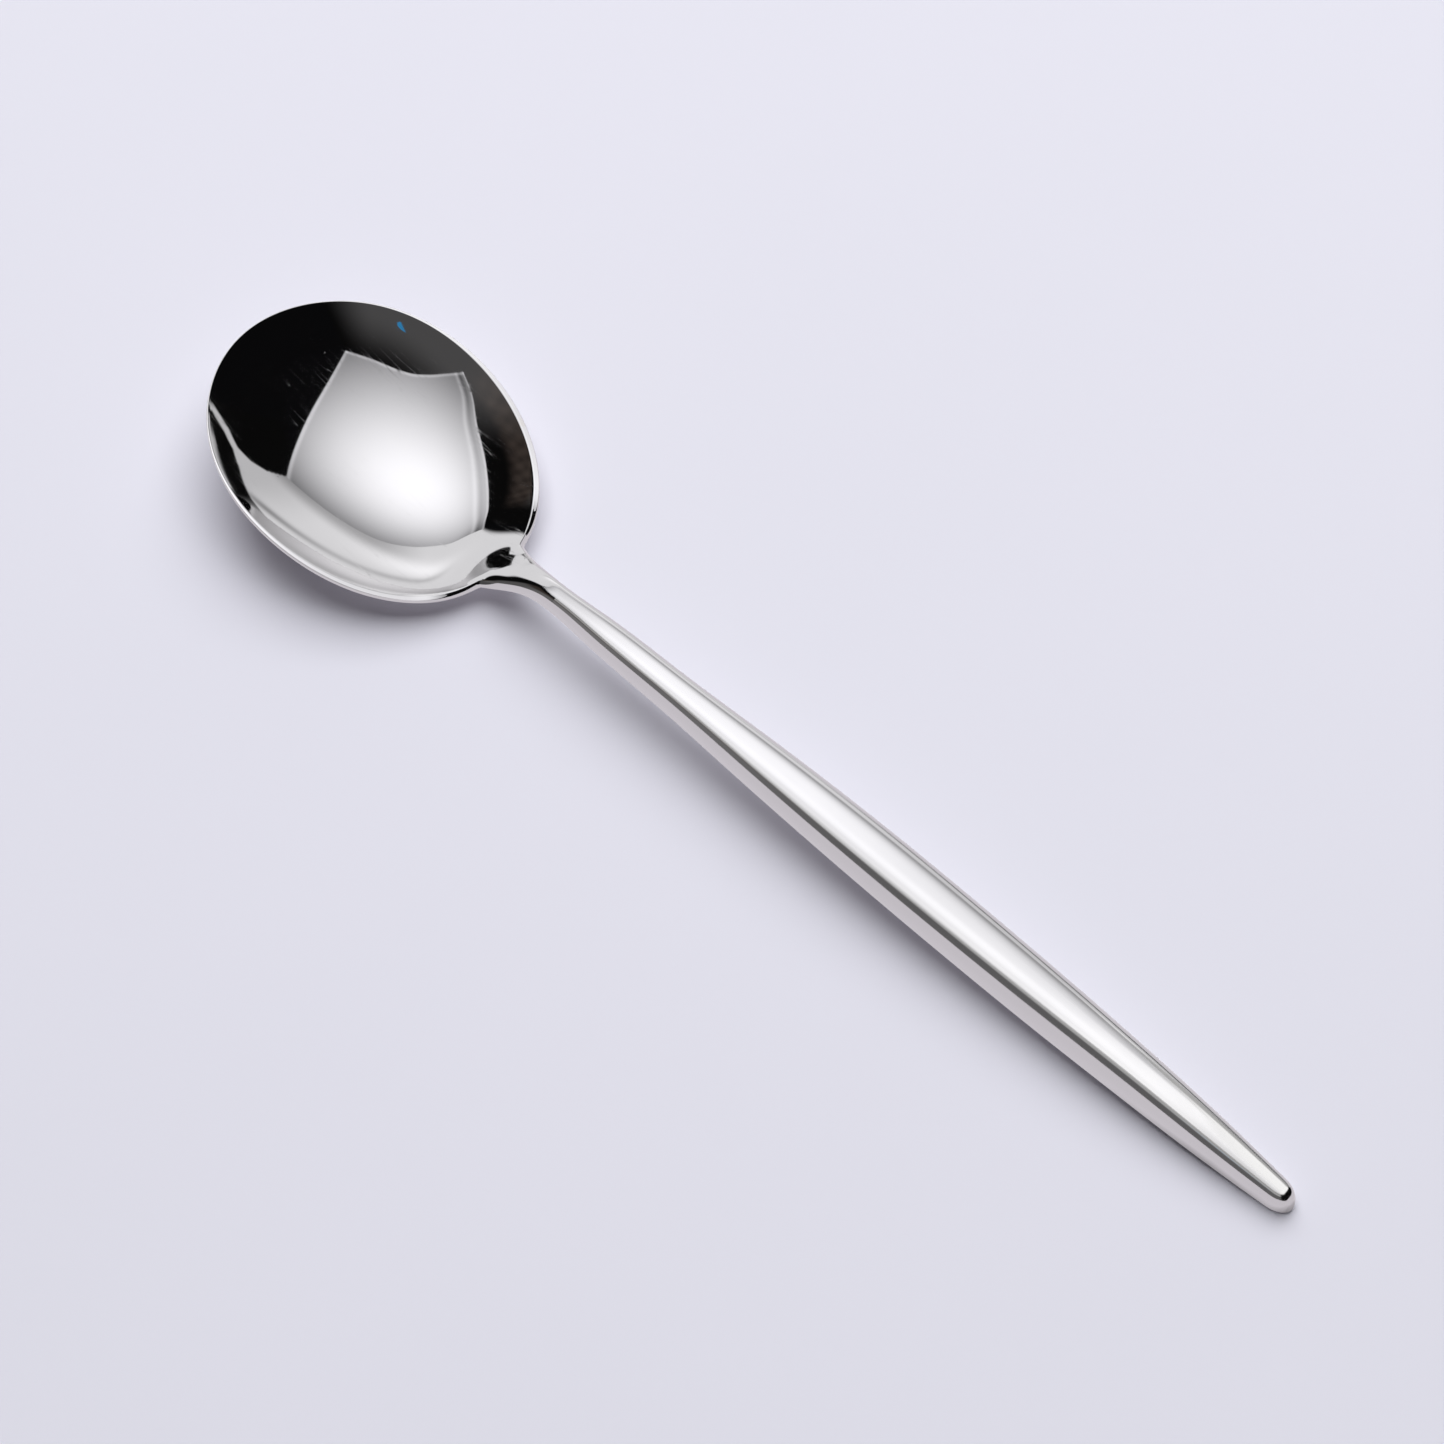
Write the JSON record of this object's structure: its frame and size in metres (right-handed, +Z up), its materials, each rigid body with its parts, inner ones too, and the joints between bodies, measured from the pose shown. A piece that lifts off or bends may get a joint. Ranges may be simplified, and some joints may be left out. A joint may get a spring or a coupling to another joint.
{
  "type": "soup spoon",
  "caption": "Polished steel soup spoon: round shallow bowl with a level lip that gets finer towards the front, raised slim neck and a long half-round handle that swells and tapers to a blunt end.",
  "frame": {"origin": "on the table under the middle of the spoon's length, midway across its width", "axes": "+X from the bowl towards the handle's end, +Z up from the table the spoon lies on, +Y across the bowl"},
  "size_m": [0.21, 0.0452, 0.013],
  "materials": {
    "polished_steel": "polished",
    "braze_filler": "satin"
  },
  "bodies": {
    "root": {"bowl": "polished_steel", "handle": "polished_steel", "neck_braze": "braze_filler"}
  },
  "joints": []
}
